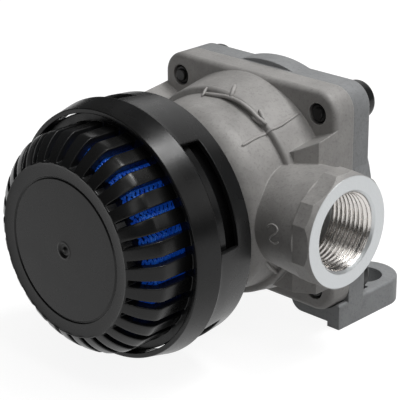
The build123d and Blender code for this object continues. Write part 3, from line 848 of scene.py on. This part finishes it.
def make_thread(name, origin, along, across, length, material):
    """Screw thread on the wall of a port. origin is where the thread starts, along its
    direction into the port and across any direction at right angles to it."""
    side = along.cross(across)
    rows = int(length / THREAD_STEP)
    vertices = []

    def add_point(reach, turn, radius):
        vertices.append(origin + along * reach + (across * cos(turn) + side * sin(turn)) * radius)

    for row in range(rows + 1):
        reach = row * THREAD_STEP
        for column in range(THREAD_COLUMNS):
            share = column / THREAD_COLUMNS
            place = (reach / THREAD_PITCH + share) % 1.0
            height = min(1.0, THREAD_CREST * (1 - abs(2 * place - 1)))
            ends = min(1.0, reach / THREAD_FADE, (length - reach) / THREAD_FADE)
            radius = THREAD_RADIUS - THREAD_HEIGHT * height * max(0.0, ends)
            add_point(reach, 2 * pi * share, radius)
    first_back = len(vertices)
    for reach in (0.0, length):
        for column in range(THREAD_COLUMNS):
            add_point(reach, 2 * pi * column / THREAD_COLUMNS, THREAD_RADIUS + THREAD_BACKING)
    faces = []

    def strip(a, b):
        for column in range(THREAD_COLUMNS):
            other = (column + 1) % THREAD_COLUMNS
            faces.append((a + column, a + other, b + other, b + column))

    for row in range(rows):
        strip(row * THREAD_COLUMNS, (row + 1) * THREAD_COLUMNS)
    strip(rows * THREAD_COLUMNS, first_back + THREAD_COLUMNS)
    strip(first_back + THREAD_COLUMNS, first_back)
    strip(first_back, 0)
    thread = add_object(name, vertices, faces, material)
    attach(thread, "valve")


def make_threads(material):
    height = AXIS_HEIGHT / MM
    reach = PORT_FACE / MM - THREAD_LEAD
    for name, side in (("thread_right", 1), ("thread_left", -1)):
        origin = Vector((side * reach, PORT_Y / MM, height))
        along, across = Vector((-side, 0, 0)), Vector((0, 1, 0))
        make_thread(name, origin, along, across, SIDE_THREAD_LENGTH, material)
    origin = Vector((0, INLET_FACE / MM - THREAD_LEAD, height))
    along, across = Vector((0, -1, 0)), Vector((1, 0, 0))
    make_thread("thread_inlet", origin, along, across, INLET_THREAD_LENGTH, material)


# Casting marks, as (y from the port axis, radius, degrees from the top towards +X). A
# negative sink lifts a bead off its line.
ARROW_LINE = (
    (-2.73, 28.31, -8.8),
    (-2.7, 28.4, -1.6),
    (-2.1, 28.6, 3.9),
    (-2.0, 29.1, 9.7),
    (-1.96, 29.5, 17.0),
    (-1.9, 29.65, 24.4),
    (-1.9, 29.6, 30.8),
    (-1.75, 29.9, 34.5),
    (-1.62, 30.1, 37.0),
)
ARROW_BARBS = (
    ((-0.2, 30.42, 27.6), (-0.7, 30.4, 30.5), (-1.5, 30.1, 35.8)),
    ((-2.2, 28.6, 27.8), (-2.1, 28.8, 31.5), (-1.8, 29.7, 36.0)),
)
ARROW_TAIL = ((-1.6, 29.9, -7.6), (-4.6, 28.2, -6.2))
TICK = ((2.69, 30.75, 5.2), (-0.27, 30.48, 9.0), (-2.0, 28.95, 10.5))
PARTING_LINE = (
    (-11.5, 27.55, 41.3),
    (-9.36, 27.70, 40.9),
    (-6.08, 27.98, 40.2),
    (-2.4, 28.35, 40.3),
    (-1.9, 29.4, 40.4),
    (-0.9, 30.35, 40.6),
    (1.64, 30.80, 40.7),
    (5.98, 31.45, 39.6),
    (9.8, 32.05, 38.6),
)
ARM_RIB = ((-9.13, 27.63, 115.8), (-5.99, 27.97, 122.1), (-1.99, 29.28, 129.0))
MARK_BEADS = (
    (ARROW_LINE, 0.60, -0.35),
    (ARROW_TAIL, 0.48, -0.25),
    (TICK, 0.70, -0.45),
    (PARTING_LINE, 0.44, 0.0),
    (ARM_RIB, 0.60, 0.0),
    (ARROW_BARBS[0], 0.55, -0.3),
    (ARROW_BARBS[1], 0.55, -0.3),
)
BEAD_SIDES = 8
BEAD_PARTS = 5
# Digit by the right port, as (x, degrees above -Y about the port axis), on the arm's cone
ARM_RADIUS = 14.2
ARM_WIDENING = 1.8
ARM_START = 22.0
ARM_LENGTH = 18.0
DIGIT_SIZE = 0.30
DIGIT = (
    (30.5, 6.0),
    (31.3, 9.6),
    (32.6, 11.4),
    (34.0, 10.4),
    (34.5, 7.4),
    (33.6, 2.8),
    (32.2, -1.2),
    (31.5, -4.6),
    (31.9, -7.4),
    (33.2, -8.2),
    (34.4, -6.2),
    (35.0, -3.4),
)


def smooth_path(points, parts):
    """Rounded path through points."""
    result = []
    for index in range(len(points) - 1):
        p0 = points[max(index - 1, 0)]
        p1, p2 = points[index], points[index + 1]
        p3 = points[min(index + 2, len(points) - 1)]
        for part in range(parts):
            t = part / parts
            square = (2 * p0 - 5 * p1 + 4 * p2 - p3) * t * t
            cube = (3 * p1 - p0 - 3 * p2 + p3) * t * t * t
            result.append(0.5 * ((2 * p1) + (p2 - p0) * t + square + cube))
    result.append(points[-1])
    return result


def bead(vertices, faces, points, size):
    """Adds a rounded bead along points, with tapered ends."""
    path = smooth_path(points, BEAD_PARTS)
    sizes = []
    for index in range(len(path)):
        end = min(index, len(path) - 1 - index)
        sizes.append(size * min(1.0, 0.35 + 0.3 * end))
    add_tube(vertices, faces, path, sizes, BEAD_SIDES)


def make_marks(material):
    """Raised marks of the body casting."""
    vertices = []
    faces = []
    port_y = PORT_Y / MM

    for line, size, sink in MARK_BEADS:
        points = [on_main(r - sink, port_y + y + min(0.0, sink), radians(a)) for y, r, a in line]
        bead(vertices, faces, points, size)
    height = AXIS_HEIGHT / MM
    points = []
    for x, lift in DIGIT:
        radius = ARM_RADIUS + ARM_WIDENING * (x - ARM_START) / ARM_LENGTH
        angle = radians(lift)
        points.append(Vector((x, port_y - radius * cos(angle), height + radius * sin(angle))))
    bead(vertices, faces, points, DIGIT_SIZE)
    marks = add_object("casting_marks", vertices, faces, material)
    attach(marks, "valve")


# Ends of the cover screws, as (radius, depth from the foremost point)
TIP_PROFILE = (
    (0, 0),
    (1.55, 0),
    (1.8, 0.2),
    (1.8, 0.75),
    (2.35, 0.8),
    (2.75, 1.2),
    (2.75, 2.1),
    (0, 2.1),
)
TIP_SIDES = 32


def make_screw_tips(material):
    """Ends of the cover screws, which stand out to the front of their shanks."""
    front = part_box("cover_screw_1")[0].y / MM - TIP_PROFILE[-1][1]
    for number in range(1, 5):
        low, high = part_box(f"cover_screw_{number}")
        middle = (low + high) / 2 / MM
        vertices = []
        faces = []
        rows = []
        for radius, depth in TIP_PROFILE:
            count = TIP_SIDES if radius else 1
            rows.append([len(vertices) + side % count for side in range(TIP_SIDES)])
            for side in range(count):
                turn = 2 * pi * side / TIP_SIDES
                x = middle.x + radius * cos(turn)
                z = middle.z + radius * sin(turn)
                vertices.append(Vector((x, front + depth, z)))
        for a, b in zip(rows, rows[1:]):
            for side in range(TIP_SIDES):
                other = (side + 1) % TIP_SIDES
                faces.append(tuple(dict.fromkeys((a[side], a[other], b[other], b[side]))))
        tip = add_object(f"screw_tip_{number}", vertices, faces, material, smooth=False)
        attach(tip, "valve")


def place_looks():
    """Materials of all CAD nodes, and the pieces that are made here."""
    cast = cast_metal("cast_alloy", 0.405, 0.31, 0.03, body_machined())
    cover = cast_metal("cover_alloy", 0.34, 0.27, -0.02, cover_machined())
    plastic = moulded_plastic("black_plastic", 0.009, 0.27)
    cad_plastic = moulded_plastic("core_plastic", 0.011, 0.30, 0.2 * MM)
    black_screw = moulded_plastic("black_screw", 0.010, 0.30, 0.2 * MM)
    steel = bright_metal("bright_steel", 0.62, 0.0, 0.22)
    brass = bright_metal("seat_brass", 0.60, 0.22, 0.25)
    light_plastic = moulded_plastic("guide_plastic", 0.55, 0.45, 0.2 * MM)
    seal = rubber("seal_rubber")
    carrier = bright_metal("carrier_alloy", 0.66, 0.0, 0.28)
    for material, nodes in (
        (cast, ["valve_body"]),
        (cover, ["rear_cover"]),
        (cad_plastic, ["core_tube"]),
        (black_screw, [f"cover_screw_{number}" for number in range(1, 5)]),
        (steel, ["disc_washer", "disc_nut", "return_spring", "inlet_strainer", "silencer_clip"]),
        (brass, ["exhaust_seat"]),
        (light_plastic, ["stem_guide"]),
        (seal, ["valve_disc", "cover_o_ring", "seat_o_ring", "silencer_o_ring"]),
        (carrier, ["disc_carrier"]),
    ):
        for node in nodes:
            dress(node, material)
    make_screw_tips(black_screw)
    make_cage(plastic)
    make_collar(plastic)
    make_knit(knit_yarn(), painted_shade_cloth())
    make_threads(bright_metal("thread_alloy", 0.68, 0.04, 0.22))
    make_marks(cast_metal("mark_alloy", 0.46, 0.38, 0.03, [], 0.0))


# Surroundings
FLOOR_GLOW = 0.90
FLOOR_COLOR = (0.24, 0.24, 0.24, 1.0)
FLOOR_HALF = 2.0
WORLD_LEVEL = 0.05
WHITE = (1.0, 1.0, 1.0, 1.0)
# Lamps, as (name, azimuth, elevation, distance, width, height, power)
LAMPS = (
    ("overhead", 137, 68, 0.9, 0.25, 0.25, 3.7),
    ("overhead_wide", 85, 64, 1.0, 0.45, 0.40, 2.4),
    ("top_front", 35, 68, 1.0, 0.35, 0.30, 0.6),
    ("strip", 40, 36, 1.0, 0.22, 0.50, 0.60),
    ("back_wall", -160, 30, 1.3, 1.20, 0.60, 2.6),
    ("back_right", 118, 28, 1.3, 0.80, 0.55, 1.6),
)


def make_stage():
    """Pale floor and plain grey surroundings."""
    mesh = bpy.data.meshes.new("floor")
    corners = [(x * FLOOR_HALF, y * FLOOR_HALF, 0) for x, y in ((-1, -1), (1, -1), (1, 1), (-1, 1))]
    mesh.from_pydata(corners, [], [(0, 1, 2, 3)])
    ground = bpy.data.objects.new("floor", mesh)
    bpy.context.scene.collection.objects.link(ground)
    material = bpy.data.materials.new("floor")
    material.use_nodes = True
    tree = material.node_tree
    bsdf = tree.nodes["Principled BSDF"]
    bsdf.inputs["Base Color"].default_value = FLOOR_COLOR
    bsdf.inputs["Roughness"].default_value = 1.0
    bsdf.inputs["Specular IOR Level"].default_value = 0.0
    rays = tree.nodes.new("ShaderNodeLightPath")
    seen = rays.outputs["Is Camera Ray"]
    for name in ("Is Glossy Ray", "Is Transmission Ray"):
        node = tree.nodes.new("ShaderNodeMath")
        node.operation = "MAXIMUM"
        tree.links.new(seen, node.inputs[0])
        tree.links.new(rays.outputs[name], node.inputs[1])
        seen = node.outputs[0]
    share = tree.nodes.new("ShaderNodeMath")
    share.operation = "MULTIPLY"
    share.inputs[1].default_value = FLOOR_GLOW
    tree.links.new(seen, share.inputs[0])
    bsdf.inputs["Emission Color"].default_value = WHITE
    tree.links.new(share.outputs[0], bsdf.inputs["Emission Strength"])
    mesh.materials.append(material)

    world = bpy.data.worlds.new("studio")
    bpy.context.scene.world = world
    world.use_nodes = True
    background = world.node_tree.nodes["Background"]
    background.inputs["Color"].default_value = WHITE
    background.inputs["Strength"].default_value = WORLD_LEVEL


def softbox(name, azimuth, elevation, distance, width, height, power):
    """Area lamp that looks at the valve's middle from an azimuth and an elevation."""
    centre = (cad_box[0] + cad_box[1]) / 2
    back = towards(azimuth, elevation)
    data = bpy.data.lights.new(name, "AREA")
    data.shape = "RECTANGLE"
    data.size = width
    data.size_y = height
    data.energy = power
    lamp = bpy.data.objects.new(name, data)
    bpy.context.scene.collection.objects.link(lamp)
    lamp.location = centre + back * distance
    lamp.rotation_mode = "QUATERNION"
    lamp.rotation_quaternion = (-back).to_track_quat("-Z", "Y")


bpy.context.scene.view_settings.view_transform = "Standard"
make_camera()
make_stage()
for lamp in LAMPS:
    softbox(*lamp)
place_looks()
